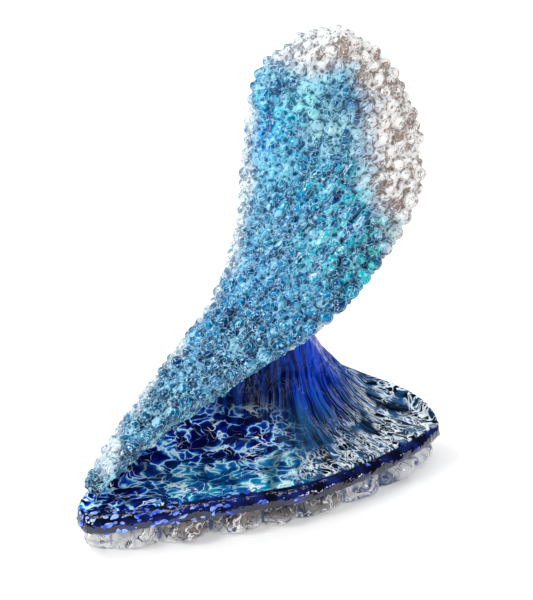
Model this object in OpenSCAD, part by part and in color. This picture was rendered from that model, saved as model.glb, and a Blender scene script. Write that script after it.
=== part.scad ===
// A breaking wave in hot-worked glass: a clear foot with a lobed skirt, a cobalt base that
// climbs into the hollow of the wave, and a thick crest slab rolled in round glass beads.
// Millimetres, +Z up, +X along the wave, -Y towards the viewer. The shelf is at Z 0.

/* [Wave] */
// Length of the wave along the shelf
wave_length = 246; // [226:2:266]
// Depth of the base from front to back
wave_depth = 172; // [158:2:186]
// Height of the top of the crest slab above the shelf
crest_height = 328; // [300:2:356]

/* [Crest slab] */
// Thickness of the crest slab in the middle of the plume
crest_thick = 22; // [16:1:24]
// Thickness of the crest slab at its tip on the left
tip_thick = 9; // [6:0.5:10]
// How far the slab bows out towards the viewer
crest_bow = 15; // [8:1:20]

/* [Base] */
// Height of the clear foot
foot_h = 18; // [14:0.5:22]
// How far the clear foot stands back under the dark rim
foot_inset = 11; // [9:0.5:14]
// Number of clear lobes round the foot
lobe_count = 18; // [14:1:22]
// How far a lobe bulges out from the foot
lobe_bulge = 13; // [9:0.5:15]
// Height of the dark rim at the left tip
rim_h_left = 13; // [10:0.5:16]
// Height of the dark rim at the right tip
rim_h_right = 8; // [6:0.5:10]
// Width of the dark rim band, measured in from its edge
rim_band_w = 9; // [7:0.5:12]
// Thickness of the free ridge of the cobalt wall
ridge_thick = 11; // [8:0.5:14]

/* [Beads] */
// Diameter of a bead on the face of the crest
bead_d = 7.6; // [6.6:0.2:9]
// How much the beads differ in size, as a share of their diameter
bead_spread = 0.18; // [0:0.02:0.24]
// Diameter of the small seed beads that fill the gaps between the beads
seed_d = 4; // [3.6:0.2:5]
// Diameter of the large drops along the lip
drop_d = 11; // [9:0.5:13]
// Height of a bead's centre over the glass, as a share of its radius
bead_rise = 0.15; // [0.1:0.05:0.6]
// Gap between a bead and the glass or the bead next to it
seat_gap = 0.25; // [0.2:0.05:0.4]
// Length of a teal streak between its round ends
streak_length = 9; // [6:0.5:11]
// Width of a teal streak
streak_w = 6.4; // [5:0.2:7]
// Diameter of a white spot in the dark rim
spot_d = 4.4; // [3.4:0.2:5]
// Distance from one white spot to the next
spot_pitch = 7.5; // [6.5:0.5:12]

/* [Hidden] */

// The sizes at which the outlines below were drawn, and the height of the base in them.
drawn_length = 246;
drawn_depth = 172;
drawn_height = 328;
drawn_foot_h = 18;
drawn_base_top = 40;

// Stations of the crest slab from its tip on the left to the crown: the lip edge, the back
// edge, the thickness as a share from tip to plume, and the bow as a share of the full bow.
crest_rows = [
    [[-110, -84,  43], [-111, -78,  41], 0.00, 0.05],
    [[ -93, -81,  58], [ -95, -58,  50], 0.20, 0.35],
    [[ -72, -75,  76], [ -71, -30,  72], 0.45, 0.60],
    [[ -46, -66,  93], [ -45,  -4,  96], 0.70, 0.85],
    [[ -15, -54, 110], [ -28,   8, 122], 0.85, 1.00],
    [[  17, -44, 127], [ -21,  14, 149], 0.95, 1.00],
    [[  50, -36, 151], [ -12,  18, 188], 1.00, 1.00],
    [[  78, -24, 184], [ -10,  20, 222], 1.00, 0.95],
    [[  97, -12, 216], [  -8,  18, 249], 1.00, 0.85],
    [[ 101,  -3, 250], [  -6,  14, 274], 0.95, 0.75],
    [[  88,   1, 290], [   0,  10, 298], 0.85, 0.65],
    [[  70,   1, 314], [  19,   5, 317], 0.72, 0.45],
    [[  58,   1, 324], [  35,   3, 326], 0.55, 0.20],
    [[  50,   2, 328], [  44,   2, 328], 0.30, 0.05]];
slab_last = len(crest_rows) - 1;

// Stations of the base from the left tip to the right tip: its front and back edge in plan.
base_rows = [
    [[-121, -84], [-121, -77]],
    [[-110, -97], [-116, -50]],
    [[ -76, -89], [-101, -12]],
    [[ -36, -76], [ -76,  26]],
    [[   2, -64], [ -42,  53]],
    [[  32, -52], [  -8,  67]],
    [[  62, -31], [  36,  78]],
    [[  90,  -5], [  78,  79]],
    [[ 114,  22], [ 109,  67]],
    [[ 126,  42], [ 125,  48]]];
base_last = len(base_rows) - 1;

// The free ridge of the wall, from the peak where it leaves the slab down to the right tip.
ridge_rows = [
    [ 14,  32, 154],
    [ 24,  48, 117],
    [ 36,  63,  83],
    [ 57,  75,  53],
    [ 84,  77,  41],
    [106,  68,  35],
    [120,  54,  30],
    [125,  45,  26]];

// Points round a section of the crest slab, and lofted steps from one station to the next.
slab_points = 36;
slab_steps = 3;
// The wall meets the slab up to this station of the base, which is this station of the slab.
peak_row = 5;
peak_station = 19 / slab_steps;
// Points of a base section on the rim's face, the floor, the wall's top and the wall's back.
rim_steps = 3;
floor_steps = 8;
cap_steps = 4;
back_steps = 6;
base_steps = 3;
// How many of the floor's steps lie in front of the barrel wall.
floor_part = 4;
// Points of a lobe along and up its face.
lobe_cols = 8;
lobe_rows = 5;
// Distance between the places where a bead may settle.
place_step = 1.5;

cobalt = [0.04, 0.12, 0.55];
navy = [0.03, 0.05, 0.20];
clear_glass = [0.86, 0.92, 0.96];
deep_blue = [0.10, 0.36, 0.66];
wave_blue = [0.10, 0.46, 0.76];
teal = [0.10, 0.65, 0.72];
ice = [0.80, 0.90, 0.94];
pale_blue = [0.62, 0.78, 0.88];
spot_white = [0.75, 0.84, 0.98];

// Vectors and curves

function unit(v) = v / norm(v);
function mix(a, b, k) = a + (b - a) * k;
function clamp(x, lo, hi) = min(max(x, lo), hi);
function total(list, n) = n <= 0 ? 0 : list[n - 1] + total(list, n - 1);

// A smooth curve through all the rows of a list; u counts rows.
function along(rows, u) =
    let (last = len(rows) - 1,
         k = clamp(floor(u), 0, last - 1),
         f = u - k,
         p1 = rows[k],
         p2 = rows[k + 1],
         p0 = k > 0 ? rows[k - 1] : 2 * p1 - p2,
         p3 = k < last - 1 ? rows[k + 2] : 2 * p2 - p1)
    0.5 * (2 * p1 + (p2 - p0) * f
        + (2 * p0 - 5 * p1 + 4 * p2 - p3) * f * f
        + (3 * p1 - p0 - 3 * p2 + p3) * f * f * f);

function bezier(a, b, c, d, k) =
    a * pow(1 - k, 3) + 3 * b * k * pow(1 - k, 2) + 3 * c * k * k * (1 - k) + d * pow(k, 3);

// Fixed scatter between -1 and 1 for a whole number, the same at every build.
function scatter(k) = 2 * (abs(sin(k * 78.233 + 11.7) * 437.585) % 1) - 1;

// A drawn point or a drawn plan point at the chosen length, depth and height. What is drawn
// inside the base follows the foot, and what is above it shares out the rest of the height.
lift = foot_h - drawn_foot_h;
function high(z) =
    z <= drawn_base_top ? z + lift
    : mix(drawn_base_top + lift, crest_height, (z - drawn_base_top) / (drawn_height - drawn_base_top));
function placed(p) = [p.x * wave_length / drawn_length, p.y * wave_depth / drawn_depth, high(p.z)];
function in_plan(p) = [p.x * wave_length / drawn_length, p.y * wave_depth / drawn_depth, foot_h];

// Crest slab

lips = [for (r = crest_rows) placed(r[0])];
backs = [for (r = crest_rows) placed(r[1])];
thick_shares = [for (r = crest_rows) r[2]];
bow_shares = [for (r = crest_rows) r[3]];

function lip(s) = along(lips, s);
function back_edge(s) = along(backs, s);
function slab_mid(s) = (lip(s) + back_edge(s)) / 2;
function slab_width(s) = norm(back_edge(s) - lip(s));
function slab_axis(s) = unit(slab_mid(min(s + 0.3, slab_last)) - slab_mid(max(s - 0.3, 0)));
function slab_chord(s) = unit(back_edge(s) - lip(s));
function slab_front(s) = unit(cross(slab_axis(s), slab_chord(s)));
function slab_thick(s) = mix(tip_thick, crest_thick, along(thick_shares, s));
function slab_bow(s) = crest_bow * along(bow_shares, s);

// A point of the section at station s, going round from the lip at 0 degrees by the middle
// of the front at 90 and the back edge at 180. The section is a flat oval with full edges.
edge_power = 3.2;
function slab_point(s, angle) =
    let (x = -cos(angle),
         y = sign(sin(angle)) * pow(max(1 - pow(abs(x), edge_power), 0), 1 / edge_power))
    mix(lip(s), back_edge(s), (1 + x) / 2)
        + slab_front(s) * (slab_thick(s) / 2 * y + slab_bow(s) * (1 - x * x));
function slab_section(s) = [for (k = [0 : slab_points - 1]) slab_point(s, 360 * k / slab_points)];

// The way out of the slab at a point of its skin.
function slab_normal(s, angle) =
    unit(cross(slab_point(s + 0.04, angle) - slab_point(s - 0.04, angle),
        slab_point(s, angle + 3) - slab_point(s, angle - 3)));

// Faces of a tube of closed rings, each with n points, with flat ends.
function tube_faces(rings, n) = concat(
    [[for (k = [n - 1 : -1 : 0]) k]],
    [for (r = [0 : rings - 2], k = [0 : n - 1])
        let (a = r * n + k, b = r * n + (k + 1) % n)
        each [[a, b, b + n], [a, b + n, a + n]]],
    [[for (k = [0 : n - 1]) (rings - 1) * n + k]]);

module loft(sections) {
    n = len(sections[0]);
    polyhedron([for (s = sections) each s], tube_faces(len(sections), n), convexity = 6);
}

module crest_piece(from, to) {
    loft([for (k = [from * slab_steps : to * slab_steps]) slab_section(k / slab_steps)]);
}

root_end = 4;
waist_end = 6;
shoulder_end = 9;
module crest_root() { color(deep_blue) crest_piece(0, root_end); }
module crest_waist() { color(wave_blue) crest_piece(root_end, waist_end); }
module crest_shoulder() { color(teal) crest_piece(waist_end, shoulder_end); }
module crest_crown() { color(ice) crest_piece(shoulder_end, slab_last); }

// Cobalt base: the dark rim, the floor and the barrel wall are three lofts side by side

fronts = [for (r = base_rows) in_plan(r[0])];
rears = [for (r = base_rows) in_plan(r[1])];

function front_edge(v) = along(fronts, v);
function rear_edge(v) = along(rears, v);
function depth_at(v) = norm(front_edge(v) - rear_edge(v));
function forward(v) = unit(front_edge(v) - rear_edge(v));
function rim_h(v) = mix(rim_h_left, rim_h_right, v / base_last);
function band_w(v) = min(rim_band_w, depth_at(v) * 0.3);

// The share of the slab's width, from the lip, between which the wall meets its back.
seat_from = 0.68;
seat_to = 0.86;
wall_gap = 0.4;
function seat(s, share) =
    let (angle = 360 - acos(1 - 2 * share))
    slab_point(s, angle) - slab_front(s) * wall_gap;
ridges = concat(
    [(seat(peak_station, seat_from) + seat(peak_station, seat_to)) / 2],
    [for (p = ridge_rows) placed(p)]);
function ridge(v) = along(ridges, (v - peak_row) * (len(ridges) - 1) / (base_last - peak_row));
function ridge_half(v) = min(ridge_thick / 2, depth_at(v) * 0.2);
function wall_station(v) = v * peak_station / peak_row;
function top_inner(v) = v <= peak_row
    ? seat(wall_station(v), seat_from) : ridge(v) + forward(v) * ridge_half(v);
function top_outer(v) = v <= peak_row
    ? seat(wall_station(v), seat_to) : ridge(v) - forward(v) * ridge_half(v);

function rim_skin(v, turn) =
    front_edge(v) - forward(v) * band_w(v) * (1 - cos(turn)) + [0, 0, rim_h(v) * (0.3 + 0.7 * sin(turn))];
function rim_point(v, k) = rim_skin(v, 90 * k / rim_steps);
function floor_point(v, k) =
    let (a = rim_point(v, rim_steps),
         d = top_inner(v),
         rear = rear_edge(v),
         b = mix(a, [rear.x, rear.y, a.z], 0.62),
         climb = 120 * (1 - exp(-(d.z - a.z) / 120)),
         c = [mix(a.x, rear.x, 0.80), mix(a.y, rear.y, 0.80), a.z + 0.42 * climb])
    bezier(a, b, c, d, k / floor_steps);
// The top of the wall is flat where it meets the slab and round along the free ridge.
function cap_point(v, k) =
    let (swell = ridge_half(v) * clamp((v - peak_row) / 0.5, 0, 1))
    mix(top_inner(v), top_outer(v), k / cap_steps) + [0, 0, swell * sin(180 * k / cap_steps)];
function back_point(v, k) =
    let (a = top_outer(v),
         d = rear_edge(v),
         b = [mix(a.x, d.x, 0.15), mix(a.y, d.y, 0.15), mix(a.z, d.z, 0.40)],
         c = [mix(a.x, d.x, 0.85), mix(a.y, d.y, 0.85), mix(a.z, d.z, 0.70)])
    bezier(a, b, c, d, k / back_steps);

function under(p) = [p.x, p.y, foot_h];
function rim_section(v) = concat(
    [under(front_edge(v))],
    [for (k = [0 : rim_steps]) rim_point(v, k)],
    [under(rim_point(v, rim_steps))]);
function floor_section(v) = concat(
    [under(floor_point(v, 0))],
    [for (k = [0 : floor_part]) floor_point(v, k)],
    [under(floor_point(v, floor_part))]);
function wall_section(v) = concat(
    [under(floor_point(v, floor_part))],
    [for (k = [floor_part : floor_steps]) floor_point(v, k)],
    [for (k = [1 : cap_steps]) cap_point(v, k)],
    [for (k = [1 : back_steps]) back_point(v, k)]);

// Up to the peak the base has one section for each section of the slab over it.
seat_steps = round(peak_station * slab_steps);
base_list = concat(
    [for (k = [0 : seat_steps]) peak_row * k / seat_steps],
    [for (k = [1 : (base_last - peak_row) * base_steps]) peak_row + k / base_steps]);
module navy_rim() { color(navy) loft([for (v = base_list) rim_section(v)]); }
module cobalt_floor() { color(cobalt) loft([for (v = base_list) floor_section(v)]); }
module barrel_wall() { color(cobalt) loft([for (v = base_list) wall_section(v)]); }

// Clear foot: a many-sided pad with one lobe against each side

tip_share = 0.6;
plan_step = 0.3;
foot_loop = concat(
    [for (v = [tip_share : plan_step : base_last - tip_share]) front_edge(v) - forward(v) * foot_inset],
    [for (v = [base_last - tip_share : -plan_step : tip_share]) rear_edge(v) + forward(v) * foot_inset]);
loop_gaps = [for (k = [0 : len(foot_loop) - 1]) norm(foot_loop[(k + 1) % len(foot_loop)] - foot_loop[k])];
loop_length = total(loop_gaps, len(loop_gaps));

function on_loop(d, k = 0) =
    d <= loop_gaps[k] || k == len(foot_loop) - 1
        ? mix(foot_loop[k], foot_loop[(k + 1) % len(foot_loop)], d / loop_gaps[k])
        : on_loop(d - loop_gaps[k], k + 1);
corner_wander = 0.18;
corners = [for (k = [0 : lobe_count - 1])
    on_loop(loop_length * (k + 0.5 + corner_wander * scatter(k)) / lobe_count)];

module clear_foot() {
    color(clear_glass)
        linear_extrude(foot_h)
            polygon([for (p = corners) [p.x, p.y]]);
}

function lobe_name(k) = str("foot_lobe_", k < 10 ? "0" : "", k);

// A lobe is a rounded swelling of clear glass with a flat heel against the pad.
lobe_h = foot_h - seat_gap;
function lobe_point(a, b, side, k, u, w) =
    let (p = mix(a, b, mix(0.02, 0.98, u)),
         reach = lobe_bulge * (1 + 0.2 * scatter(k + 40)),
         swell = pow(sin(180 * u), 0.8) * pow(sin(180 * mix(0.06, 0.94, w)), 0.6))
    [p.x, p.y, lobe_h * w] + side * (seat_gap + reach * swell);

module foot_lobe(k) {
    a = corners[k - 1];
    b = corners[k % lobe_count];
    side = unit(cross(b - a, [0, 0, 1]));
    face = [for (j = [0 : lobe_rows], i = [0 : lobe_cols])
        lobe_point(a, b, side, k, i / lobe_cols, j / lobe_rows)];
    heel = [for (w = [0, 1], u = [0.02, 0.98])
        let (p = mix(a, b, u)) [p.x, p.y, lobe_h * w] + side * seat_gap];
    points = concat(face, heel);
    color(clear_glass)
        hull()
            polyhedron(points, [for (q = [0 : len(points) - 3]) [q, q + 1, q + 2]]);
}

// Beads

// Stands its children on the glass at p, with their Z along n and their X as near to x as fits.
module standing(p, n, x) {
    up = unit(cross(n, x));
    side = cross(up, n);
    multmatrix([[side.x, up.x, n.x, p.x], [side.y, up.y, n.y, p.y], [side.z, up.z, n.z, p.z]])
        children();
}

// A round bead that lies flat on the glass. rise is its centre's height as a share of r.
module bead(r, rise = bead_rise) {
    intersection() {
        translate([0, 0, seat_gap + r * rise]) sphere(r, $fn = 24);
        translate([-2 * r, -2 * r, seat_gap]) cube(4 * r);
    }
}

// Large drops hang in a row along the lip. A place is its point, radius, station and angle.
drop_from = 1.6;
drop_to = 8.4;
drop_angle = 14;
function drop_places(s, found = []) =
    s > drop_to ? found
    : let (p = slab_point(s, drop_angle),
           apart = len(found) == 0 || norm(p - found[len(found) - 1][0]) > drop_d + seat_gap)
      drop_places(s + 0.02, apart ? concat(found, [[p, drop_d / 2, s, drop_angle]]) : found);

// Teal streaks: long drops that lean the same way across the shoulder. Each of the places
// below takes one unless it would touch a streak before it.
streak_rows = 8;
streak_cols = 4;
streak_lean = 22;
function streak_place(k) =
    let (i = floor(k / streak_cols),
         j = k % streak_cols,
         s = 6.3 + 0.3 * i + 0.05 * scatter(k),
         angle = 58 + 17 * j - 2.5 * i + 5 * scatter(k + 50))
    [slab_point(s, angle), streak_w / 2, s, angle];
function streak_way(place) =
    let (s = place[2], lean = streak_lean + 9 * scatter(round(10 * place[3])))
    unit(slab_axis(s) * cos(lean) - slab_chord(s) * sin(lean));
function streak_room(list) = [for (q = list, k = [-0.5 : 0.25 : 0.5])
    [q[0] + streak_way(q) * streak_length * k, q[1]]];
function streak_places(k = 0, own = []) =
    k == streak_rows * streak_cols ? own
    : let (q = streak_place(k),
           touching = [for (t = streak_room([q])) if (!is_free(t[0], t[1], streak_room(own))) 1])
      streak_places(k + 1, len(touching) == 0 ? concat(own, [q]) : own);

module streak(place) {
    r = place[1];
    standing(place[0], slab_normal(place[2], place[3]), streak_way(place))
        intersection() {
            translate([0, 0, seat_gap + r * bead_rise]) {
                translate([-streak_length / 2, 0, 0]) sphere(r, $fn = 24);
                translate([streak_length / 2, 0, 0]) sphere(r, $fn = 24);
                translate([-streak_length / 2, 0, 0]) rotate([0, 90, 0]) cylinder(streak_length, r, r, $fn = 24);
            }
            translate([-streak_length, -2 * r, seat_gap]) cube([2 * streak_length, 4 * r, 3 * r]);
        }
}

// Where a bead may settle between two stations, in rows from the tip up. Where the slab is
// wide a row goes from the lip to the back edge, and by the tip it stays on top.
narrow = 16;
wide = 34;
function row_places(s) =
    let (n = ceil(slab_width(s) * PI / 2 / place_step),
         round_edge = clamp((slab_width(s) - narrow) / (wide - narrow), 0, 1))
    [for (k = [0 : n]) [s, mix(mix(50, 0, round_edge), mix(130, 180, round_edge), k / n)]];
function places(from, to) =
    let (n = ceil(norm(slab_mid(to) - slab_mid(from)) / place_step))
    [for (k = [0 : n]) each row_places(mix(from, to, k / n))];

// Beads settle one after another, each in the first free place on the way up the slab.
function spread_r(d, k) = d / 2 * (1 + bead_spread * scatter(k));
function is_free(p, r, taken) = len([for (t = taken) if (norm(t[0] - p) < t[1] + r + seat_gap) 1]) == 0;
function settled(spots, taken, d, k = 0, own = []) =
    k == len(spots) ? own
    : let (p = slab_point(spots[k][0], spots[k][1]), r = spread_r(d, len(own)))
      settled(spots, taken, d, k + 1,
          is_free(p, r, taken) && is_free(p, r, own) ? concat(own, [[p, r, spots[k][0], spots[k][1]]]) : own);

module beads_at(list) {
    for (b = list)
        standing(b[0], slab_normal(b[2], b[3]), slab_axis(b[2]))
            bead(b[1]);
}

// The beads of one stretch keep half a bead away from the next stretch.
margin = bead_d / 2 * (1 + bead_spread);
function stretch_places(from, to) =
    let (start = from + margin / norm(back_edge(from + 1) - back_edge(from)),
         end = to == slab_last ? to : to - margin / norm(back_edge(to) - back_edge(to - 1)))
    places(start, end);
function beads_of(from, to) =
    settled(stretch_places(from, to), concat(drop_places(drop_from), streak_room(streak_places())), bead_d);
module bead_stretch(from, to) { beads_at(beads_of(from, to)); }

// Seed beads settle last, in what room the beads, drops and streaks leave.
module seed_stretch(from, to) {
    taken = concat(drop_places(drop_from), streak_room(streak_places()), beads_of(from, to));
    beads_at(settled(stretch_places(from, to), taken, seed_d));
}

module root_beads() { color(pale_blue) bead_stretch(0, root_end); }
module waist_beads() { color(wave_blue) bead_stretch(root_end, waist_end); }
module shoulder_beads() { color(wave_blue) bead_stretch(waist_end, shoulder_end); }
module crown_beads() { color(ice) bead_stretch(shoulder_end, slab_last); }
module root_seeds() { color(pale_blue) seed_stretch(0, root_end); }
module waist_seeds() { color(wave_blue) seed_stretch(root_end, waist_end); }
module shoulder_seeds() { color(teal) seed_stretch(waist_end, shoulder_end); }
module crown_seeds() { color(ice) seed_stretch(shoulder_end, slab_last); }
module lip_drops() { color(pale_blue) beads_at(drop_places(drop_from)); }
module teal_streaks() { color(teal) for (q = streak_places()) streak(q); }

// White spots: shallow caps in two rows on the face of the dark rim, up to spot_to.
spot_from = 0.95;
spot_to = 5.4;
spot_rise = -0.8;
function rim_way(v, turn) = unit(forward(v) * rim_h(v) * 0.7 * cos(turn) + [0, 0, band_w(v) * sin(turn)]);
function spot_row(v, turn, found = []) =
    v > spot_to ? found
    : let (apart = len(found) == 0 || norm(rim_skin(v, turn) - rim_skin(found[len(found) - 1], turn)) > spot_pitch)
      spot_row(v + 0.01, turn, apart ? concat(found, [v]) : found);

module rim_spots() {
    color(spot_white)
        for (row = [[spot_from, 12, 0], [spot_from + 0.06, 52, 50]])
            for (v = spot_row(row[0], row[1]))
                standing(rim_skin(v, row[1]), rim_way(v, row[1]), [0, 0, 1])
                    bead(spot_d / 1.2 * (1 + bead_spread * scatter(round(v * 100) + row[2])), spot_rise);
}

clear_foot();
for (k = [1 : lobe_count])
    foot_lobe(k);
navy_rim();
rim_spots();
cobalt_floor();
barrel_wall();
crest_root();
crest_waist();
crest_shoulder();
crest_crown();
root_beads();
waist_beads();
shoulder_beads();
crown_beads();
root_seeds();
waist_seeds();
shoulder_seeds();
crown_seeds();
lip_drops();
teal_streaks();
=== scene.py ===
# %% [markdown]
# # A breaking wave in hot-worked glass
# The real object is one heavy piece of studio glass: a clear lobed foot, a cobalt base that
# climbs into the hollow of the wave, and a tall crest rolled in round glass beads. Each part
# was a separate gather or bit of glass, fused to the next while hot. Here the CAD nodes give
# every size and place, and Blender melts them together where the real glass is melted.

# %% Load the frame
import math
import random
from functools import partial

import bmesh
import bpy
import numpy as np
from mathutils import Matrix, Vector, noise
from mathutils.bvhtree import BVHTree


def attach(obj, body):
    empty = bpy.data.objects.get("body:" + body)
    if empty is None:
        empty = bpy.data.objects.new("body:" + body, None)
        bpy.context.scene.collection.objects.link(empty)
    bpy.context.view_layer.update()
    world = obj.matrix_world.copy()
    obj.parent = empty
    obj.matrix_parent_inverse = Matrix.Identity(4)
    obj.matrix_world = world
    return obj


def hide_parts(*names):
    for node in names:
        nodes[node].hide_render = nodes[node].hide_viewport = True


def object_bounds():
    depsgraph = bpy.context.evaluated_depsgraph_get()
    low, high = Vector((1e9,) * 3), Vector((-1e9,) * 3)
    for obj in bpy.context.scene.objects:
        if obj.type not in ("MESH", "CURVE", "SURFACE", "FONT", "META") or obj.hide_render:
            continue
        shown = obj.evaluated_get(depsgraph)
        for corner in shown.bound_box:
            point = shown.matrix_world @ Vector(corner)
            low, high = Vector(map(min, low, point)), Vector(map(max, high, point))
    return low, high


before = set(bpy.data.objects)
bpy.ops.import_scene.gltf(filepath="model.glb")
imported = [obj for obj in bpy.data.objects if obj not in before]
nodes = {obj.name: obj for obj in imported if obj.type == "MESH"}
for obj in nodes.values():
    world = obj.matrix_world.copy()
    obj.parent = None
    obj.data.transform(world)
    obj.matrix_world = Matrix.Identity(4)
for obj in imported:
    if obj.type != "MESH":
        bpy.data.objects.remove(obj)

cad_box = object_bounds()
MM = 0.001
scene = bpy.context.scene
print("nodes:", len(nodes), "box mm:", [[round(v / MM, 1) for v in corner] for corner in cad_box])

# %% [markdown]
# ## Camera
# The photograph looks down on the wave by about a quarter of a right angle, from far enough
# away that the far tip shrinks only a little. A wide lens from nearby could show the same
# outline, but it would stretch the near tip. A long lens at 1.4 m keeps the real proportions.

# %% Camera
IMAGE_H = 600
FOCAL_PX = 2100
CAMERA_TILT = math.radians(24)
CAMERA_DISTANCE = 1.4
AIM = Vector((3, 0, 142)) * MM

lens = bpy.data.cameras.new("camera")
lens.sensor_width = 36
lens.lens = lens.sensor_width * FOCAL_PX / IMAGE_H
lens.clip_start = 0.05
camera = bpy.data.objects.new("camera", lens)
look = Vector((0, math.cos(CAMERA_TILT), -math.sin(CAMERA_TILT)))
camera.location = AIM - look * CAMERA_DISTANCE
camera.rotation_euler = look.to_track_quat("-Z", "Y").to_euler()
scene.collection.objects.link(camera)
scene.camera = camera
print("lens mm:", lens.lens)

# %% [markdown]
# ## The slab and its beads
# On the real wave the crest is one thick, bowed slab, rolled while soft over a tray of round
# beads, so the beads sit on its front and round its edges and the back stays smooth. The CAD
# has the slab in four stretches and the beads as cut balls. They could be shown just so, but
# fused glass has no seams, so their meshes are first gathered and welded into one.

# %% Gather the slab
CREST = ("crest_root", "crest_waist", "crest_shoulder", "crest_crown")
BEADS = ("root_beads", "waist_beads", "shoulder_beads", "crown_beads",
         "root_seeds", "waist_seeds", "shoulder_seeds", "crown_seeds", "lip_drops", "teal_streaks")
WELD = 0.01 * MM


def shaped(name, mesh):
    """A new object from a bmesh, which is used up."""
    data = bpy.data.meshes.new(name)
    mesh.to_mesh(data)
    mesh.free()
    piece = bpy.data.objects.new(name, data)
    scene.collection.objects.link(piece)
    return piece


def gather(name, *node_names):
    """One new object with the meshes of some CAD nodes, welded where they were split."""
    mesh = bmesh.new()
    for node_name in node_names:
        mesh.from_mesh(nodes[node_name].data)
    bmesh.ops.remove_doubles(mesh, verts=mesh.verts, dist=WELD)
    return shaped(name, mesh)


def facets(piece):
    """A piece's mesh as triangles that face outwards."""
    mesh = bmesh.new()
    mesh.from_mesh(piece.data)
    bmesh.ops.recalc_face_normals(mesh, faces=mesh.faces)
    bmesh.ops.triangulate(mesh, faces=mesh.faces)
    return mesh


slab = gather("slab", *CREST)
slab_facets = facets(slab)
slab_facets.to_mesh(slab.data)
slab_tree = BVHTree.FromBMesh(slab_facets)
print("slab triangles:", len(slab_facets.faces))

# %% Find where the CAD beads sit
BOX_TO_BALL = 1.7   # a ball's box is this much longer across its corners than the ball is


def shells(mesh):
    """The loose parts of a mesh, each as a list of places."""
    seen = set()
    for start in mesh.verts:
        if start.index in seen:
            continue
        stack, shell = [start], []
        seen.add(start.index)
        while stack:
            vert = stack.pop()
            shell.append(vert.co)
            for edge in vert.link_edges:
                other = edge.other_vert(vert)
                if other.index not in seen:
                    seen.add(other.index)
                    stack.append(other)
        yield shell


bead_shell = gather("bead_shell", *BEADS)
bead_mesh = bmesh.new()
bead_mesh.from_mesh(bead_shell.data)
cad_beads = []
for shell in shells(bead_mesh):
    low = Vector(map(min, zip(*shell)))
    high = Vector(map(max, zip(*shell)))
    cad_beads.append(((low + high) / 2, (high - low).length / 2 / BOX_TO_BALL))
bead_mesh.free()
print("beads in the CAD:", len(cad_beads))

# %% [markdown]
# ## Small beads between the large ones
# The tray also holds finer frit, which fills the gaps between the round beads. A particle
# system could scatter it, but beads would then overlap the large ones. So random places on the
# slab are tried one by one, and a bead stays only where its neighbours leave it room. The
# neighbours are kept in a grid of small cells, which makes each try quick.

# %% Seat the small beads
CELL = 8 * MM
TRIES = 9000
SMALL_BEAD = (1.3, 2.5)      # radius in mm
ROOM = 0.62                  # least distance of two beads, as a share of their radii together
BACK = -0.15                 # faces turned further from the front than this stay smooth
FRONT = Vector((-0.25, -0.85, 0.45)).normalized()
small = random.Random(7)
grid = {}


def cell_of(p):
    return tuple(math.floor(x / CELL) for x in p)


def near(p):
    """The beads already lying within one cell of a place."""
    i, j, k = cell_of(p)
    for a in (i - 1, i, i + 1):
        for b in (j - 1, j, j + 1):
            for c in (k - 1, k, k + 1):
                yield from grid.get((a, b, c), ())


def drawn_faces(mesh, draw, count):
    """Random triangles of a mesh, large ones more often."""
    faces = list(mesh.faces)
    return draw.choices(faces, weights=[f.calc_area() for f in faces], k=count)


def somewhere_on(face, draw):
    """A random place on a triangle."""
    a, b = sorted((draw.random(), draw.random()))
    one, two, three = [v.co for v in face.verts]
    return one * a + two * (b - a) + three * (1 - b)


for p, r in cad_beads:
    grid.setdefault(cell_of(p), []).append((p, r))
seated = []
for face in drawn_faces(slab_facets, small, TRIES):
    if face.normal.dot(FRONT) < BACK:
        continue
    p = somewhere_on(face, small)
    r = small.uniform(*SMALL_BEAD) * MM
    if all((p - q).length > ROOM * (r + s) for q, s in near(p)):
        grid.setdefault(cell_of(p), []).append((p, r))
        seated.append((p, face.normal.copy(), r))
print("small beads:", len(seated))

# %% Make the balls of the small beads


def balls(name, places, roundness=2):
    """One object of many balls, each with a centre and a 3x3 matrix that sizes and turns it."""
    unit = bmesh.new()
    bmesh.ops.create_icosphere(unit, subdivisions=roundness, radius=1)
    co = np.array([v.co[:] for v in unit.verts])
    tri = np.array([[v.index for v in f.verts] for f in unit.faces])
    unit.free()
    centres = np.array([p[:] for p, turn in places])
    turns = np.array([[row[:] for row in turn] for p, turn in places])
    points = np.einsum("nij,kj->nki", turns, co) + centres[:, None]
    faces = tri[None] + (np.arange(len(places)) * len(co))[:, None, None]
    data = bpy.data.meshes.new(name)
    data.from_pydata(points.reshape(-1, 3).tolist(), [], faces.reshape(-1, 3).tolist())
    piece = bpy.data.objects.new(name, data)
    scene.collection.objects.link(piece)
    return piece


bead_places = []
for p, out, r in seated:
    turn = Matrix.Rotation(small.uniform(0, math.pi), 3, out)
    size = Matrix.Diagonal((small.uniform(0.9, 1.45), small.uniform(0.85, 1.1), 1)) * r
    bead_places.append((p + out * r * small.uniform(-0.1, 0.25), turn @ size))
small_beads = balls("small_beads", bead_places)

# %% [markdown]
# ## Melt beads and slab into one skin
# In the furnace the beads sink a little and their edges flow together. A boolean union would
# leave a sharp crease round every bead. A voxel remesh takes all closed shells as one lump and
# rounds the creases by about one voxel, which is just what heat does, and a light smoothing
# takes its steps away.

# %% Melt the crest
SKIN_VOXEL = 0.85


def joined(name, *pieces):
    """One object with the meshes of several, which are removed."""
    mesh = bmesh.new()
    for piece in pieces:
        mesh.from_mesh(piece.data)
        bpy.data.objects.remove(piece)
    return shaped(name, mesh)


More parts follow.
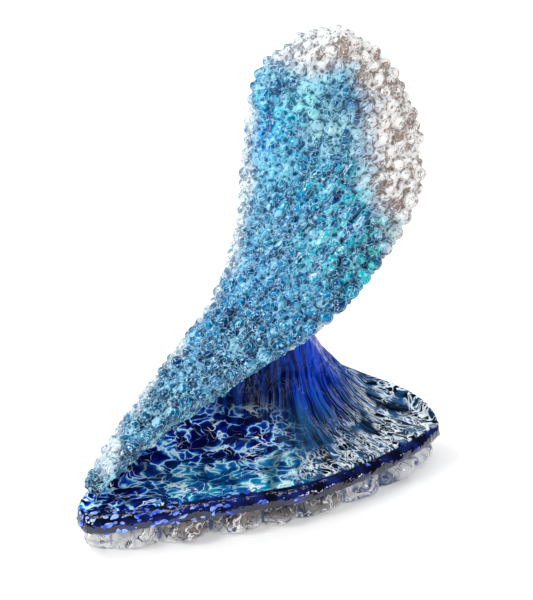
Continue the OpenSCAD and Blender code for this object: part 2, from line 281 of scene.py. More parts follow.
def melted(piece, voxel, soften):
    """Melts all that a piece holds into one skin, as hot glass does, and rounds its edges."""
    remesh = piece.modifiers.new("melt", "REMESH")
    remesh.mode = "VOXEL"
    remesh.voxel_size = voxel * MM
    smooth = piece.modifiers.new("soften", "SMOOTH")
    smooth.factor = 0.5
    smooth.iterations = soften
    graph = bpy.context.evaluated_depsgraph_get()
    data = bpy.data.meshes.new_from_object(piece.evaluated_get(graph))
    piece.modifiers.clear()
    old, piece.data = piece.data, data
    bpy.data.meshes.remove(old)
    data.polygons.foreach_set("use_smooth", [True] * len(data.polygons))
    print(piece.name, "faces:", len(data.polygons))


skin = joined("pebbled_crest", slab, bead_shell, small_beads)
melted(skin, SKIN_VOXEL, 2)
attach(skin, "root")
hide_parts(*BEADS)

# %% [markdown]
# ## The colour under the skin
# The slab's blue and teal lie under a thin coat of clear beads. A single clear lump with a
# coloured volume could show that, but it is slow and the exported model would lose it. So a
# second lump, the slab alone, lies 1 to 1.8 mm under the skin and carries the colour, and it
# stays so near the skin that it is missed nowhere.

# %% Sink the core
SINK_SHARE = 0.1             # of the glass under a point
SINK_LEAST, SINK_MOST = 1.0 * MM, 1.8 * MM
REACH = 80 * MM


def points_of(piece, what="co"):
    """A mesh's points, or their normals, as an array."""
    values = np.empty(len(piece.data.vertices) * 3)
    piece.data.vertices.foreach_get(what, values)
    return values.reshape(-1, 3)


def set_points(piece, co):
    piece.data.vertices.foreach_set("co", co.ravel())
    piece.data.update()


core = gather("crest_core", *CREST)
melted(core, 1.6, 3)
core_mesh = bmesh.new()
core_mesh.from_mesh(core.data)
core_tree = BVHTree.FromBMesh(core_mesh)
core_mesh.free()
co, out = points_of(core), points_of(core, "normal")
sunk = np.empty(len(co))
for i in range(len(co)):
    here, outward = Vector(co[i]), Vector(out[i])
    hit = core_tree.ray_cast(here - outward * 0.5 * MM, -outward, REACH)
    depth = hit[3] if hit[0] else 10 * MM
    sunk[i] = min(max(SINK_SHARE * depth, SINK_LEAST), SINK_MOST)
set_points(core, co - out * sunk[:, None])
melted(core, 1.3, 8)
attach(core, "root")
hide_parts(*CREST)
print("core sunk mm:", (sunk.min() / MM).round(2), "to", (sunk.max() / MM).round(2))

# %% [markdown]
# ## How the materials are written
# Every material here is a graph of shader nodes. One function adds a node, sets it and links
# it, and it turns sRGB hex colours into the linear ones that Blender works in. A node that
# comes up often has its settings kept in a named dictionary. Texture scales are worked out
# from the size in mm that the pattern has on the glass.

# %% Shader nodes and colours
MIX = dict(kind="ShaderNodeMix", out=2, data_type="RGBA")              # {0: share, 6: under, 7: over}
TINT = dict(MIX, blend_type="MULTIPLY")
TIMES = dict(kind="ShaderNodeMath", operation="MULTIPLY")
LESS = dict(kind="ShaderNodeMath", operation="SUBTRACT")
HIGHER = dict(kind="ShaderNodeMath", operation="MAXIMUM")
STEP = dict(kind="ShaderNodeMapRange", interpolation_type="SMOOTHSTEP")  # [value, from, to, low, high]
PLUS_V = dict(kind="ShaderNodeVectorMath", operation="ADD")
LESS_V = dict(kind="ShaderNodeVectorMath", operation="SUBTRACT")
TIMES_V = dict(kind="ShaderNodeVectorMath", operation="MULTIPLY")
NOISE = dict(kind="ShaderNodeTexNoise")
TURNED = dict(kind="ShaderNodeMapping", vector_type="TEXTURE")
BUMP = dict(kind="ShaderNodeBump")
SURFACE = dict(kind="ShaderNodeBsdfPrincipled")
SHOWN = dict(kind="ShaderNodeOutputMaterial")


def linear(hex_colour):
    """An sRGB hex colour as linear RGBA."""
    parts = [int(hex_colour[i:i + 2], 16) / 255 for i in (1, 3, 5)]
    return tuple(c / 12.92 if c <= 0.04045 else ((c + 0.055) / 1.055) ** 2.4 for c in parts) + (1,)


def add_node(tree, inputs, kind, out=0, stops=(), **settings):
    """Adds a shader node with its settings, values and links, and gives one of its outputs."""
    node = tree.nodes.new(kind)
    for name, value in settings.items():
        setattr(node, name, value)
    for i, (place, colour) in enumerate(stops):
        elements = node.color_ramp.elements
        element = elements[i] if i < 2 else elements.new(place)
        element.position = place
        element.color = linear(colour)
    for name, value in inputs.items() if isinstance(inputs, dict) else enumerate(inputs):
        if isinstance(value, bpy.types.NodeSocket):
            tree.links.new(value, node.inputs[name])
        else:
            node.inputs[name].default_value = linear(value) if isinstance(value, str) else value
    return node.outputs[out] if node.outputs else None


def empty_material(name):
    """A new material without nodes, and the function that adds nodes to it."""
    material = bpy.data.materials.new(name)
    material.use_nodes = True
    material.node_tree.nodes.clear()
    return material, partial(add_node, material.node_tree)


def per(size_mm):
    """The texture scale for a pattern of a size in mm, to a whole number."""
    return round(1000 / size_mm)


# %% Patterns that several kinds of glass share


def spot(add, place, centre, size, soft=0.5):
    """1 inside a ball of colour (centre and half-sizes in mm), fading to 0 at its edge."""
    away = add([place, [c * MM for c in centre]], **LESS_V)
    shrunk = add([away, [c * MM for c in size]], "ShaderNodeVectorMath", operation="DIVIDE")
    far = add([shrunk], "ShaderNodeVectorMath", "Value", operation="LENGTH")
    return add([far, 1 - soft, 1 + soft, 1.0, 0.0], **STEP)


def warped(add, place, wave, reach):
    """The place moved about by smooth noise: waves of a length in mm, by up to reach in mm."""
    drift = add({"Vector": place, "Scale": per(wave), "Detail": 2}, out="Color", **NOISE)
    centred = add([drift, (0.5, 0.5, 0.5)], **LESS_V)
    moved = add({0: centred, "Scale": 2 * reach * MM}, "ShaderNodeVectorMath", operation="SCALE")
    return add([place, moved], **PLUS_V)


def thread(add, tone, width):
    """Thin lines where a noise crosses its middle."""
    off = add([add([tone, 0.5], **LESS)], "ShaderNodeMath", operation="ABSOLUTE")
    return add([off, width, width * 0.2], **STEP)


# %% [markdown]
# ## Where the crest is blue, teal and clear
# The maker laid colour bars in the slab, so blue runs up from the root, teal lies across the
# shoulder, pale turquoise is under the crown, and the crown and the left edge are clear. A
# painted image could hold that, but it would need unwrapping. Soft balls of colour, placed in
# millimetres of the object, follow the solid from all sides. Noise bends their edges, as
# flowing glass does.

# %% Colour zones: centre in mm, half-sizes in mm, colour
WAVE_BLUE = "#0C8CC2"
ZONES = [
    ((-98, -75, 55), (42, 40, 36), "#1C6C98"),     # root
    ((-106, -84, 36), (24, 26, 17), "#0A2444"),
    ((-60, -45, 88), (34, 40, 26), "#05567F"),
    ((-28, -30, 112), (22, 40, 18), "#044474"),    # waist
    ((-8, -22, 130), (26, 40, 20), "#045A86"),
    ((18, -10, 152), (22, 30, 24), "#04467E"),
    ((20, 0, 187), (18, 30, 26), "#054E84"),
    ((-6, 10, 205), (14, 30, 34), "#6FB8D8"),
    ((60, -20, 184), (34, 30, 36), "#00CCDE"),     # teal shoulder
    ((78, -20, 192), (14, 30, 16), "#2CD4BC"),
    ((42, -30, 155), (20, 30, 15), "#0688BA"),
    ((40, 2, 232), (24, 30, 24), "#02BAE0"),
    ((34, 0, 217), (10, 30, 10), "#0478BC"),
    ((60, 0, 232), (14, 30, 20), "#0CD8D6"),
    ((13, 9, 240), (18, 30, 16), "#7CDCF4"),       # under the crown
    ((12, 8, 272), (20, 30, 18), "#1CDCFF"),
    ((0, 10, 258), (8, 30, 13), "#0AA8EE"),
    ((44, 4, 266), (20, 30, 18), "#D0FAF8"),
    ((30, 5, 284), (20, 30, 12), "#A8FAF6"),
    ((34, 5, 300), (34, 30, 10), "#B8F4FC"),
]
# the crown, the right edge, the left edge and the drops of the lip
CLEAR_ZONES = [
    ((40, 5, 331), (90, 40, 27)), ((110, -8, 262), (46, 40, 86)), ((84, 5, 303), (33, 30, 26)),
    ((-24, 15, 240), (20, 30, 80)), ((98, -30, 178), (18, 30, 34)), ((-20, 12, 176), (13, 26, 24)),
    ((-36, 5, 144), (13, 26, 22)), ((-58, -15, 116), (13, 24, 20)), ((-79, -36, 88), (13, 24, 20)),
    ((-99, -60, 64), (14, 24, 18)), ((-1, -40, 103), (9, 20, 7)), ((25, -40, 123), (9, 20, 7)),
    ((46, -38, 141), (9, 20, 8)),
]
SHOULDER = ((55, -10, 200), (44, 40, 52))
CROWN_SIDE = ((95, 0, 270), (84, 80, 92))


def wave_colour(add, place):
    """The colour of the crest at a place, and how clear the glass is there."""
    soft = warped(add, place, 22.2, 9)
    colour, clear = WAVE_BLUE, 0.0
    for centre, size, zone_colour in ZONES:
        colour = add({0: spot(add, soft, centre, size), 6: colour, 7: zone_colour}, **MIX)
    for centre, size in CLEAR_ZONES:
        clear = add([clear, spot(add, soft, centre, size, 0.3)], **HIGHER)
    return colour, clear


# %% [markdown]
# ## Pebbled crest glass
# The real material is soda-lime glass, clear beads fused over blue and teal, fire-polished by
# the flame. So it is smooth and bright, with an IOR of 1.5. What the eye reads as depth is
# that each bead bends light into a dark line, a white line and a bit of plain colour. Full
# refraction through this many beads turns to grey mist in a small render, so the skin lets
# only 30% of the light through, and that bent light is painted in: lines of painted glint and
# of painted dark reflection, 3 to 7 mm apart, with paler and deeper patches. The crevices
# between beads get painted shade and their rims painted highlights, placed by the mesh's own
# pointiness.

# %% Crest materials
BEAD_GRAIN = 3.33           # mm, one small bead
LINE_GRAIN = 3.85
PATCH_GRAIN = 7.14          # mm, one large bead
STREAK_GRAIN = 5.88         # mm across a streak, which is five times as long
AREA_GRAIN = 13.3
DRAG_ANGLE = math.radians(-50)
STREAK_ANGLE = math.radians(-42)


def crest_glass(name, see_through):
    """Fire-polished bead glass: glossy, with painted highlights on the bead rims and painted shade between
    the beads.
    """
    material, add = empty_material(name)
    place = add({}, "ShaderNodeTexCoord", "Object")
    colour, clear = wave_colour(add, place)

    # noises drawn out along the way the glass was pulled
    bent = warped(add, place, 7.69, 2.5)
    flow = add({"Vector": bent, "Rotation": (0, DRAG_ANGLE, 0), "Scale": (2, 1, 1)}, **TURNED)
    drawn = add({"Vector": bent, "Rotation": (0, STREAK_ANGLE, 0), "Scale": (5, 1, 1)}, **TURNED)
    shifted = add([flow, (0.37, 0.11, 0.53)], **PLUS_V)
    beads = add({"Vector": flow, "Scale": per(BEAD_GRAIN), "Detail": 2}, **NOISE)
    lines = add({"Vector": shifted, "Scale": per(LINE_GRAIN), "Detail": 2}, **NOISE)
    patches = add({"Vector": shifted, "Scale": per(PATCH_GRAIN), "Detail": 3}, **NOISE)
    streaks = add({"Vector": drawn, "Scale": per(STREAK_GRAIN), "Detail": 2}, **NOISE)
    areas = add({"Vector": drawn, "Scale": per(AREA_GRAIN), "Detail": 2}, **NOISE)

    # blue and teal streaks on the shoulder, then darker and lighter areas everywhere
    # white is the colour of the painted highlights and glints on the beads
    white = add({0: clear, 6: "#A4E2FA", 7: "#F8FBFC"}, **MIX)
    shoulder = spot(add, place, *SHOULDER, 0.4)
    blue_streaks = add([add([streaks, 0.54, 0.60], **STEP), shoulder], **TIMES)
    colour = add({0: blue_streaks, 6: colour, 7: "#0A4E96"}, **MIX)
    teal_streaks = add([add([streaks, 0.49, 0.43], **STEP), shoulder], **TIMES)
    colour = add({0: teal_streaks, 6: colour, 7: "#12B4C0"}, **MIX)
    shaded = add({0: 1.0, 6: colour, 7: "#6C9EB8"}, **TINT)
    dark_areas = add([add([areas, 0.50, 0.56], **STEP), 0.55], **TIMES)
    colour = add({0: dark_areas, 6: colour, 7: shaded}, **MIX)
    light_areas = add([add([areas, 0.43, 0.34], **STEP), 0.25], **TIMES)
    colour = add({0: light_areas, 6: colour, 7: "#9FE0F2"}, **MIX)

    # three tones of the same glass: plain, pale (painted light) and deep (painted shade and dark
    # reflection)
    crown_side = spot(add, place, *CROWN_SIDE, 0.3)
    clear_plain = add({0: crown_side, 6: "#CFE0E8", 7: "#F4F3F2"}, **MIX)
    plain = add({0: clear, 6: colour, 7: clear_plain}, **MIX)
    pale = add({0: 0.75, 6: plain, 7: white}, **MIX)
    # in the clear zones the deep tone is a painted reflection of the dark room, grey-blue or brown-grey
    clear_painted_dark = add({0: crown_side, 6: "#6A8EA4", 7: "#96857B"}, **MIX)
    deep = add({0: clear, 6: add({0: 1.0, 6: colour, 7: "#347CA2"}, **TINT), 7: clear_painted_dark}, **MIX)

    # patches as large as a bead, painted lit and shaded, fine lines of painted dark reflection
    # and of painted glint, painted highlights on the bead rims and painted shade in the crevices
    tone = add({0: add([patches, 0.59, 0.64], **STEP), 6: plain, 7: pale}, **MIX)
    tone = add({0: add([patches, 0.47, 0.42], **STEP), 6: tone, 7: deep}, **MIX)
    tone = add({0: thread(add, lines, 0.038), 6: tone, 7: deep}, **MIX)
    tone = add({0: thread(add, beads, 0.026), 6: tone, 7: white}, **MIX)
    fold = add({}, "ShaderNodeNewGeometry", "Pointiness")
    # painted highlight on the convex rims of the beads
    painted_rim_highlight = add([add([fold, 0.496, 0.488], **STEP), add([fold, 0.470, 0.480], **STEP)], **TIMES)
    tone = add({0: add([painted_rim_highlight, 0.42], **TIMES), 6: tone, 7: white}, **MIX)
    # painted shade in the crevices between the beads
    crevice = add([add([fold, 0.478, 0.462], **STEP), 0.9], **TIMES)
    tone = add({0: crevice, 6: tone, 7: deep}, **MIX)
    bump = add({"Height": beads, "Distance": 0.9 * MM, "Strength": 0.9}, **BUMP)
    add([add({"Base Color": tone, "Normal": bump, "Transmission Weight": see_through,
              "Roughness": 0.04, "IOR": 1.5}, **SURFACE)], **SHOWN)
    return material


skin.data.materials.append(crest_glass("clear_over_blue_crest_glass", 0.3))
core.data.materials.append(crest_glass("blue_and_teal_crest_glass", 0.0))
print("crest nodes in each graph:", len(skin.data.materials[0].node_tree.nodes))

# %% [markdown]
# ## Cobalt base
# The floor of the wave and the wall of its barrel are one gather of cobalt glass. The wall
# thins to an edge at its left end, thinner than a voxel, and a remesh would lose it and leave
# a slit. A finer voxel would cost many faces for one small place. Instead a thread of glass,
# as a maker would trail on, is laid along the thin places before the melt. Afterwards the
# wall's top is pulled onto the back of the slab, where the two are fused.

# %% Lay a thread on the thin places
THIN = 2.2 * MM
THREAD_R = 1.3 * MM
THREAD_TRIES = 30000
THREAD_LEFT_OF, THREAD_ABOVE = -24 * MM, 50 * MM   # only the left end of the wall
base_cad = gather("base_cad", "cobalt_floor", "barrel_wall")
base_facets = facets(base_cad)
base_tree = BVHTree.FromBMesh(base_facets)
trail = random.Random(11)
thread_places = []
for face in drawn_faces(base_facets, trail, THREAD_TRIES):
    p = somewhere_on(face, trail)
    if p.x > THREAD_LEFT_OF or p.z < THREAD_ABOVE:
        continue
    hit = base_tree.ray_cast(p - face.normal * 0.02 * MM, -face.normal, 3 * MM)
    if hit[0] and hit[3] < THIN:
        thread_places.append(((p + hit[0]) / 2, Matrix.Identity(3) * THREAD_R))
base_facets.free()
print("thin places:", len(thread_places))

# %% Melt the base and fuse it to the slab
FUSE_REACH = 6.5 * MM
FUSE_FADE = 3 * MM
FUSE_DEPTH = 0.4 * MM
base = joined("cobalt_base", base_cad, balls("seam_thread", thread_places, 1))
melted(base, 1.3, 3)
co = points_of(base)
for i in range(len(co)):
    on_slab, _, _, gap = slab_tree.find_nearest(Vector(co[i]), FUSE_REACH)
    if on_slab is not None:
        share = min((FUSE_REACH - gap) / FUSE_FADE, 1)
        step = np.array(on_slab[:]) - co[i]
        co[i] += step / max(gap, 1e-6) * (gap + FUSE_DEPTH) * share
set_points(base, co)
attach(base, "root")
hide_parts("cobalt_floor", "barrel_wall")

# %% [markdown]
# ## Cobalt glass with white threads and painted caustics
# The base is cobalt glass cased over white and turquoise threads. At the left a net of
# painted caustic light glows in lines round deep blue cells, 7 mm across and 10 mm along the
# rim. Up the wall the glass was pulled towards the neck, so the threads are drawn out to a fan
# of streaks, brightened as painted highlights. At the foot of the right slope they foam up to
# white lace. Clear casing would hide the threads in reflections, so here they are drawn in the
# surface, which is polished but reflects only a little, in the blue of the glass. A painted
# softbox reflection lies on the right slope and painted shadow under the lip.

# %% The net of painted caustic light, at the left
RIM_ANGLE = math.radians(27)           # the way the front rim runs, seen from above


def net_colour(add, place, soft, patch):
    """Painted caustic light: lines of white on cobalt, and on turquoise along the rim."""
    along_rim = add({"Vector": place, "Rotation": (0, 0, RIM_ANGLE), "Scale": (1.5, 1, 1)}, **TURNED)
    bent = warped(add, warped(add, along_rim, 16.7, 7), 6.67, 3.6)
    cells = add({"Vector": bent, "Scale": per(6.67)}, "ShaderNodeTexVoronoi", "Distance",
                feature="DISTANCE_TO_EDGE")
    gaps = add({"Vector": bent, "Scale": per(8), "Detail": 1}, **NOISE)
    strength = add([gaps, 0.40, 0.62, 0.03, 1.0], **STEP)
    thickness = add([strength, add([patch, 0.36, 0.60, 0.5, 1.0], **STEP)], **TIMES)
    nearness = add([cells, thickness], "ShaderNodeMath", operation="DIVIDE")
    # the light stops next to the cell edges are painted caustic light on the cobalt and turquoise glass
    cobalt = add([nearness], "ShaderNodeValToRGB",
                 stops=[(0.0, "#DDF2FA"), (0.05, "#A8DCEE"), (0.10, "#4FA6D0"), (0.17, "#145AC0"),
                        (0.28, "#0A2FA6"), (0.50, "#06106A"), (0.9, "#040838")])
    turquoise = add([nearness], "ShaderNodeValToRGB",
                    stops=[(0.0, "#E0F6F8"), (0.08, "#8CD8E4"), (0.18, "#22AACC"), (0.36, "#1280B4"),
                           (0.70, "#0A4C92")])
    shore = add([spot(add, soft, (-14, -52, 25), (52, 22, 40)),
                 spot(add, soft, (22, -26, 26), (24, 20, 20))], **HIGHER)
    colour = add({0: shore, 6: cobalt, 7: turquoise}, **MIX)
    curl = add({"Vector": bent, "Scale": per(13.3), "Detail": 2}, **NOISE)
    pools = add([add([curl, 0.46, 0.36], **STEP), 0.75], **TIMES)
    colour = add({0: pools, 6: colour, 7: "#050A3C"}, **MIX)
    # curly white lines of painted caustic light, broken up by the patch noise
    broken = add([patch, 0.42, 0.60], **STEP)
    painted_caustic_curls = add([thread(add, curl, 0.014), broken], **TIMES)
    return add({0: painted_caustic_curls, 6: colour, 7: "#F2FAFC"}, **MIX), bent


# %% The fan of streaks and the lace, at the right
NECK_FOOT = (5 * MM, 75 * MM, 0)       # the streaks fan out from above this place
STREAKS = (26, 60, 0)                  # per radian round the neck, and per metre away from it
LACE = (14, 95, 0)


def fan_colour(add, place, soft, patch):
    """Streaks pulled to the neck, brightened as painted highlights, a calm slate patch that is a painted
    softbox reflection, and white lace on the lower slopes.
    """
    from_neck = add([warped(add, place, 22.2, 3.5), NECK_FOOT], **LESS_V)
    plan = add([from_neck], "ShaderNodeSeparateXYZ").node
    angle = add([plan.outputs["Y"], plan.outputs["X"]], "ShaderNodeMath", operation="ARCTAN2")
    far = add([from_neck], "ShaderNodeVectorMath", "Value", operation="LENGTH")
    polar = add([angle, far], "ShaderNodeCombineXYZ")
    fan = add([polar, STREAKS], **TIMES_V)
    drawn = add({"Vector": fan, "Scale": 1.0, "Detail": 3, "Distortion": 0.8}, **NOISE)
    tones = add({"Vector": fan, "Scale": 0.6, "Detail": 4, "Distortion": 0.5}, **NOISE)
    open_water = add([patch, 0.36, 0.52], **STEP)

    neck = spot(add, soft, (30, 46, 92), (34, 42, 44))
    colour = add({0: add([tones, 0.42, 0.62], **STEP), 6: "#050A1A", 7: "#24507C"}, **MIX)
    bright = add({0: add([tones, 0.40, 0.60], **STEP), 6: "#021058", 7: "#0A44D0"}, **MIX)
    colour = add({0: neck, 6: colour, 7: bright}, **MIX)
    # a painted reflection of a softbox: a calm slate-blue patch on the right slope
    slate = add([spot(add, soft, (20, 6, 38), (24, 22, 26)), add([tones, 0.36, 0.58, 0.15, 0.8], **STEP)],
                **TIMES)
    colour = add({0: slate, 6: colour, 7: "#215688"}, **MIX)

    # the white streaks are threads brightened as painted highlights; they fade at the neck and under the
    # painted slate reflection
    calm = add([neck, spot(add, soft, (22, 8, 42), (24, 22, 24), 0.3)], **HIGHER)
    lit = add([1.0, add([calm, 0.92], **TIMES)], **LESS)
    threads = add([add([thread(add, drawn, 0.03), open_water], **TIMES), lit], **TIMES)
    near_neck = spot(add, soft, (30, 46, 86), (58, 60, 62), 0.3)
    thread_colour = add({0: near_neck, 6: "#DCE8F0", 7: "#1E4CC0"}, **MIX)
    colour = add({0: threads, 6: colour, 7: thread_colour}, **MIX)

    strewn = add([polar, LACE], **TIMES_V)
    foam = add({"Vector": strewn, "Scale": 1.0, "Detail": 2, "Distortion": 1.2}, **NOISE)
    height = add([soft], "ShaderNodeSeparateXYZ", "Z")
    lower = add([add([height, 0.095, 0.065], **STEP), add([far, 0.065, 0.10], **STEP)], **TIMES)
    lace = add([add([thread(add, foam, 0.055), open_water], **TIMES), add([lit, lower], **TIMES)], **TIMES)
    return add({0: lace, 6: colour, 7: "#E2EEF5"}, **MIX), tones


# %% The whole base
NET_EDGE = (1.0, 0.0, 1.2)             # the net ends along a line that leans like this
# where painted shadow lies under the overhanging lip
UNDER_LIP = ((-14, 30, 74), (40, 38, 28))


def cased_cobalt():
    """Cobalt glass, cased and fire-polished: deep blue, with white threads, painted caustic light and
    highlights, a painted reflection and painted shadow under the lip.
    """
    material, add = empty_material("cobalt_threads_and_painted_caustics")
    place = add({}, "ShaderNodeTexCoord", "Object")
    soft = warped(add, place, 33.3, 12)
    patch = add({"Vector": place, "Scale": per(16.7), "Detail": 2}, **NOISE)
    left, bent = net_colour(add, place, soft, patch)
    right, tones = fan_colour(add, place, soft, patch)
    side = add([soft, NET_EDGE], "ShaderNodeVectorMath", "Value", operation="DOT_PRODUCT")
    colour = add({0: add([side, 0.046, 0.078], **STEP), 6: left, 7: right}, **MIX)
    # painted shadow under the lip: the barrel darkens to near-black blue
    shade = add({0: add([tones, 0.45, 0.62], **STEP), 6: "#02061E", 7: "#0A2C74"}, **MIX)
    painted_lip_shadow = add([spot(add, soft, *UNDER_LIP), 0.92], **TIMES)
    colour = add({0: painted_lip_shadow, 6: colour, 7: shade}, **MIX)
    swell = add({"Vector": bent, "Scale": per(14.3), "Detail": 1}, **NOISE)
    bump = add({"Height": swell, "Distance": 3 * MM, "Strength": 1.0}, **BUMP)
    add([add({"Base Color": colour, "Normal": bump, "Roughness": 0.05, "IOR": 1.5,
              "Specular IOR Level": 0.22, "Specular Tint": "#3F64D8"}, **SURFACE)], **SHOWN)
    return material


base.data.materials.append(cased_cobalt())

# %% [markdown]
# ## Navy rim
# A dark band runs round the base, where the casing was folded under. It is navy glass, almost
# black in thick places, with a wavy, wet shine. The CAD rim is softened by a melt, and a coat
# over an uneven surface gives the broken highlights.

# %% Navy rim
rim = gather("navy_rim_glass", "navy_rim")
melted(rim, 1.2, 6)
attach(rim, "root")
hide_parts("navy_rim")


def navy_glass():
    """Navy glass, folded hot: nearly black, blue where it is thin, with a wet shine."""
    material, add = empty_material("navy_glass")
    place = add({}, "ShaderNodeTexCoord", "Object")
    depth = add({"Vector": place, "Scale": per(14.3), "Detail": 3}, **NOISE)
    colour = add({0: add([depth, 0.4, 0.65], **STEP), 6: "#05081C", 7: "#14205E"}, **MIX)
    bump = add({"Height": depth, "Distance": 4 * MM, "Strength": 1.0}, **BUMP)
    add([add({"Base Color": colour, "Normal": bump, "Coat Normal": bump, "Coat Weight": 0.5,
              "Roughness": 0.05}, **SURFACE)], **SHOWN)
    return material


rim.data.materials.append(navy_glass())

# %% [markdown]
# ## Dashes in the rim
# Chips of opal glass were picked up on the rim, thickest at the left tip and hardly any from
# the middle on. They lie flat and were smeared along the rim. A texture of dots could show
# them, but they would have no edges of their own. So flat balls are seated on the rim like the
# small beads, tilted a little each, and noise bends their outlines.

# %% Seat the dashes
DASH_FRONT = Vector((-0.35, -0.9, 0.3))
DASH_TRIES = 5000
DASH_ABOVE = 19 * MM
DASH_LONG, DASH_WIDE, DASH_THICK = (1.1, 3.6), (0.8, 1.7), 0.35     # half-sizes in mm
DASH_FROM, DASH_FADE = -90, 115                                   # mm along x
rim_co = points_of(rim)
rim_facets = facets(nodes["navy_rim"])
dashes, taken = [], []
for face in drawn_faces(rim_facets, small, DASH_TRIES):
    p, out = somewhere_on(face, small), face.normal
    if p.z < DASH_ABOVE or out.dot(DASH_FRONT) < 0.35:
        continue
    crowd = 1.0 - 0.97 * min(max((p.x / MM - DASH_FROM) / DASH_FADE, 0), 1)
    if small.random() > crowd * crowd:
        continue
    half_long = small.uniform(*DASH_LONG) * MM
    if any((p - q).length < 0.6 * (half_long + r) + 0.5 * MM for q, r in taken):
        continue
    taken.append((p, half_long))
    along = out.cross(Vector((0, 0, 1))).normalized()
    up = out.cross(along)
    tilt = small.uniform(-0.5, 0.5)
    one = along * math.cos(tilt) + up * math.sin(tilt)
    two = up * math.cos(tilt) - along * math.sin(tilt)
    size = Matrix.Diagonal((half_long, small.uniform(*DASH_WIDE) * MM, DASH_THICK * MM))
    nearest = rim_co[np.argmin(((rim_co - p[:]) ** 2).sum(1))]
    dashes.append((Vector(nearest), Matrix((one, two, out)).transposed() @ size))
rim_facets.free()
print("dashes:", len(dashes))

# %% Bend the dashes and give them their glass
noise.seed_set(7)
spots = balls("rim_dashes", dashes)
co = points_of(spots)
for i in range(len(co)):
    co[i] += np.array(noise.noise_vector(Vector(co[i]) * 260)[:]) * 1.3 * MM
set_points(spots, co)
spots.data.polygons.foreach_set("use_smooth", [True] * len(spots.data.polygons))
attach(spots, "root")
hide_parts("rim_spots")


def opal_glass():
    """Opal glass chips, melted flat: milky blue, whiter where they are thick."""
    material, add = empty_material("opal_spots")
    place = add({}, "ShaderNodeTexCoord", "Object")
    milk = add({"Vector": place, "Scale": per(7.69), "Detail": 2}, **NOISE)
    colour = add({0: add([milk, 0.35, 0.65], **STEP), 6: "#2548C0", 7: "#8FB0F4"}, **MIX)
    add([add({"Base Color": colour, "Roughness": 0.1}, **SURFACE)], **SHOWN)
    return material


spots.data.materials.append(opal_glass())

# %% [markdown]
# ## Lobed foot
# The wave stands on a gather of clear glass, pinched into a skirt of lobes while soft. The CAD
# has a pad with 18 lobes of one form. Here they are melted together and every lobe heaves a
# little differently, because the noise that moves them is larger than one lobe. The top stays
# where it is, under the rim, and no point goes below the shelf.

# %% Melt the foot and let it heave
LOBES = [name for name in nodes if name.startswith("foot_lobe")]
HEAVE, HEAVE_MEAN = 1.6, -0.3          # mm
STILL_FROM, STILL_OVER = 14 * MM, 4 * MM
foot = gather("lobed_foot", "clear_foot", *LOBES)
melted(foot, 1.2, 6)
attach(foot, "root")
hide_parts("clear_foot", *LOBES)
co, out = points_of(foot), points_of(foot, "normal")
for i in range(len(co)):
    p = Vector(co[i])
    still = min(max((p.z - STILL_FROM) / STILL_OVER, 0), 1)
    co[i] += out[i] * (noise.noise(p * 45) * HEAVE + HEAVE_MEAN) * MM * (1 - still)
co[:, 2] = np.clip(co[:, 2], 0, None)
co[:, 2] += np.where(co[:, 2] > 16.5 * MM, 0.6 * MM, 0.0)
set_points(foot, co)
print("foot mm high:", (co[:, 2].max() / MM).round(1))

# %% [markdown]
# ## Clear foot glass
# Thick clear glass shows what is round it, bent and turned upside down: the white room, the
# navy rim above and the shadow under the lobes. Real refraction alone gave a pale, even grey
# here, since the room is all white. So half of the light goes through, and the other half is
# painted with what the lobes would bend into view: painted taupe shadow under the rim, a
# painted blue reflection at the right end, thin painted dark reflections and white glints,
# and painted blue shade in the creases between the lobes.

# %% Foot material


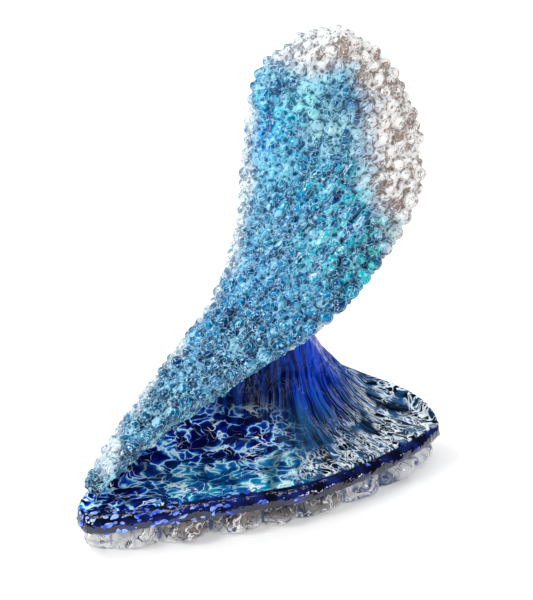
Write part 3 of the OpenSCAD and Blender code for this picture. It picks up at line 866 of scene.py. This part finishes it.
def clear_foot_glass():
    """Clear soda-lime glass, pinched hot and fire-polished: bright, with painted refraction: bent dark
    lines, white glints, blue reflection, and shade under the rim and between the lobes.
    """
    material, add = empty_material("clear_foot_glass")
    place = add({}, "ShaderNodeTexCoord", "Object")
    swirl = add({"Vector": warped(add, place, 27.8, 14), "Scale": per(35.7), "Detail": 1}, **NOISE)
    # painted refraction: bent bands of white room, blue reflection and taupe shade
    colour = add([swirl], "ShaderNodeValToRGB",
                 stops=[(0.26, "#2A4C8C"), (0.33, "#FFFFFF"), (0.42, "#F8F7F6"), (0.455, "#857B75"),
                        (0.48, "#FFFFFF"), (0.53, "#FFFFFF"), (0.56, "#2C5094"), (0.60, "#FFFFFF"),
                        (0.66, "#F2F1F0"), (0.70, "#80756F"), (0.75, "#FFFFFF")])
    bands = add([warped(add, place, 33.3, 10)], "ShaderNodeSeparateXYZ").node
    # painted taupe shadow under the navy rim
    painted_rim_shadow = add([add([bands.outputs["Z"], 0.001, 0.010], **STEP),
                     spot(add, place, (-14, -58, 10), (66, 60, 40))], **TIMES)
    colour = add({0: add([painted_rim_shadow, 0.95], **TIMES), 6: colour, 7: "#6C5F59"}, **MIX)
    # painted blue reflection of the cobalt base at the right end
    painted_blue_reflection = add([add([bands.outputs["X"], 0.0, 0.05], **STEP),
                    add([swirl, 0.56, 0.40, 0.1, 0.75], **STEP)], **TIMES)
    colour = add({0: painted_blue_reflection, 6: colour, 7: "#3F66A4"}, **MIX)
    white_end = add([add([bands.outputs["X"], -0.055, -0.085], **STEP), 0.6], **TIMES)
    colour = add({0: white_end, 6: colour, 7: "#FFFFFF"}, **MIX)
    glints = add({"Vector": warped(add, place, 16.7, 8), "Scale": per(11.1), "Detail": 3}, **NOISE)
    colour = add({0: thread(add, glints, 0.026), 6: colour, 7: "#FFFFFF"}, **MIX)
    # painted blue shade in the creases between the lobes
    fold = add({}, "ShaderNodeNewGeometry", "Pointiness")
    painted_crease_shade = add([add([fold, 0.488, 0.470], **STEP), 0.85], **TIMES)
    colour = add({0: painted_crease_shade, 6: colour, 7: "#2E4E86"}, **MIX)
    # thin painted dark reflection lines
    lines = add({"Vector": warped(add, place, 20, 10), "Scale": per(13.3), "Detail": 3,
                 "Distortion": 0.6}, **NOISE)
    colour = add({0: thread(add, lines, 0.021), 6: colour, 7: "#2C3A58"}, **MIX)
    bump = add({"Height": swirl, "Distance": 4 * MM, "Strength": 1.0}, **BUMP)
    add([add({"Base Color": colour, "Normal": bump, "Transmission Weight": 0.5,
              "Roughness": 0.02, "IOR": 1.5}, **SURFACE)], **SHOWN)
    return material


foot.data.materials.append(clear_foot_glass())

# %% [markdown]
# ## Floor
# The wave stands on a plain white sweep that fades into the background, with only a soft
# shadow at the right. A shadow catcher could do this for one picture, but a painted board is
# plainer. It glows a little, so it reaches white without more light on the glass, and it
# still takes the shadow.

# %% Floor
HALF = 3.0                             # metres, far past the edges of the picture
floor_mesh = bpy.data.meshes.new("floor")
corners = [(-HALF, -HALF, 0), (HALF, -HALF, 0), (HALF, HALF, 0), (-HALF, HALF, 0)]
floor_mesh.from_pydata(corners, [], [(0, 1, 2, 3)])
floor = bpy.data.objects.new("floor", floor_mesh)
scene.collection.objects.link(floor)
material, add = empty_material("pale_floor")
add([add({"Base Color": "#DCDCDC", "Roughness": 0.6, "Specular IOR Level": 0.2,
          "Emission Color": (1, 1, 1, 1), "Emission Strength": 0.25}, **SURFACE)], **SHOWN)
floor.data.materials.append(material)

# %% [markdown]
# ## Light
# Glass looks like glass through what it reflects and bends. In an all-white room it would have
# no edges, so a maker's photographer hangs soft panels and leaves the rest dark. The world
# does that here, by the kind of ray: the camera sees white, matt surfaces get even light,
# reflections get a dark room with three soft panels, and rays through clear glass see white
# with a darker side behind the camera. One weak softbox gives the shadow on the shelf.

# %% World
PANELS = [                             # towards, half-angles inside and outside, strength
    ((-0.8, -0.5, 0.55), 9, 13, 16.0),
    ((0.1, 0.1, 1.0), 10, 20, 4.0),
    ((0.9, -0.5, 0.35), 5, 8, 12.0),
]
DARK_ROOM = 0.025
world = bpy.data.worlds.new("studio")
scene.world = world
world.use_nodes = True
world.node_tree.nodes.clear()
add = partial(add_node, world.node_tree)
ray = add({}, "ShaderNodeLightPath").node.outputs
direction = add({}, "ShaderNodeTexCoord", "Generated")
reflected = DARK_ROOM
for towards, inner, outer, strength in PANELS:
    middle = Vector(towards).normalized()[:]
    facing = add([direction, middle], "ShaderNodeVectorMath", "Value", operation="DOT_PRODUCT")
    panel = add([facing, math.cos(math.radians(outer)), math.cos(math.radians(inner))], **STEP)
    reflected = add([reflected, add([panel, strength], **TIMES)], **HIGHER)
behind_camera = add([add([direction], "ShaderNodeSeparateXYZ", "Y"), -0.75, -0.35, 0.3, 1.25], **STEP)
light = add({0: ray["Is Diffuse Ray"], 2: reflected, 3: 1.0}, "ShaderNodeMix")
light = add({0: ray["Is Transmission Ray"], 2: light, 3: behind_camera}, "ShaderNodeMix")
light = add({0: ray["Is Camera Ray"], 2: light, 3: 1.0}, "ShaderNodeMix")
sky = add([(1, 1, 1, 1), light], "ShaderNodeBackground")
add([sky], "ShaderNodeOutputWorld")
scene.view_settings.view_transform = "Standard"

# %% Softbox
softbox = bpy.data.lights.new("key_softbox", "AREA")
softbox.size = 0.6
softbox.energy = 8
lamp = bpy.data.objects.new("key_softbox", softbox)
lamp.location = (-0.9, 0.3, 1.3)
lamp.rotation_euler = (AIM - lamp.location).to_track_quat("-Z", "Y").to_euler()
scene.collection.objects.link(lamp)

# %% [markdown]
# ## Finish
# Melting, bending and heaving can move a point a little past the solids. Scaling would fix it
# but shift every bead, so the few points that are outside are set back on the CAD's box.

# %% Keep to the CAD box and finish
for piece in (skin, base, rim, spots, foot):
    set_points(piece, np.clip(points_of(piece), cad_box[0][:], cad_box[1][:]))
